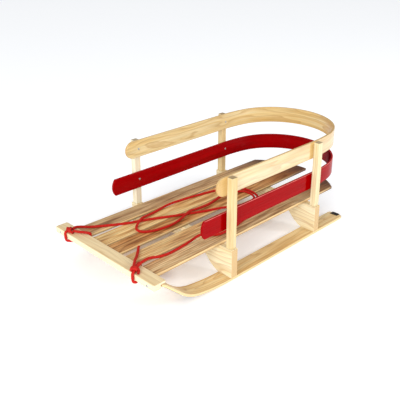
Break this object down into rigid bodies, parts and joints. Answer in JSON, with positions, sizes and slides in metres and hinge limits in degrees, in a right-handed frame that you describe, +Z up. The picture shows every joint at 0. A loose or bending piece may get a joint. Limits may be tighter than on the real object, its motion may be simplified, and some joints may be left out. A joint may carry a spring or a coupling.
{
  "type": "wooden pull sleigh",
  "caption": "Child's wooden pull sleigh with bent runners, slatted deck, arched bolsters, square posts, bent wrap-round rails and a tied pull rope.",
  "frame": {"origin": "on the ground under the middle of the sleigh, rope left out", "axes": "+Z up, -Y towards the front of the sleigh, +X towards the rider's left"},
  "size_m": [0.398, 0.8458, 0.283],
  "materials": {
    "pale_wood": "satin",
    "golden_wood": "satin",
    "slat_wood": "satin",
    "red_lacquer": "gloss",
    "shoe_steel": "satin",
    "screw_steel": "satin",
    "red_rope": "matte"
  },
  "bodies": {
    "root": {"runner_left": "golden_wood", "runner_right": "golden_wood", "runner_shoe_left": "shoe_steel", "runner_shoe_right": "shoe_steel", "bolster_front": "pale_wood", "bolster_rear": "pale_wood", "post_front_left": "pale_wood", "post_front_right": "pale_wood", "post_rear_left": "pale_wood", "post_rear_right": "pale_wood", "slat_1": "slat_wood", "slat_2": "slat_wood", "slat_3": "slat_wood", "slat_4": "slat_wood", "slat_5": "slat_wood", "front_crossbar": "pale_wood", "top_rail": "pale_wood", "lower_rail": "red_lacquer", "top_rail_screws": "screw_steel", "lower_rail_screws": "screw_steel", "crossbar_screws": "screw_steel", "pull_rope": "red_rope", "rope_knot_left": "red_rope", "rope_knot_right": "red_rope"}
  },
  "joints": []
}
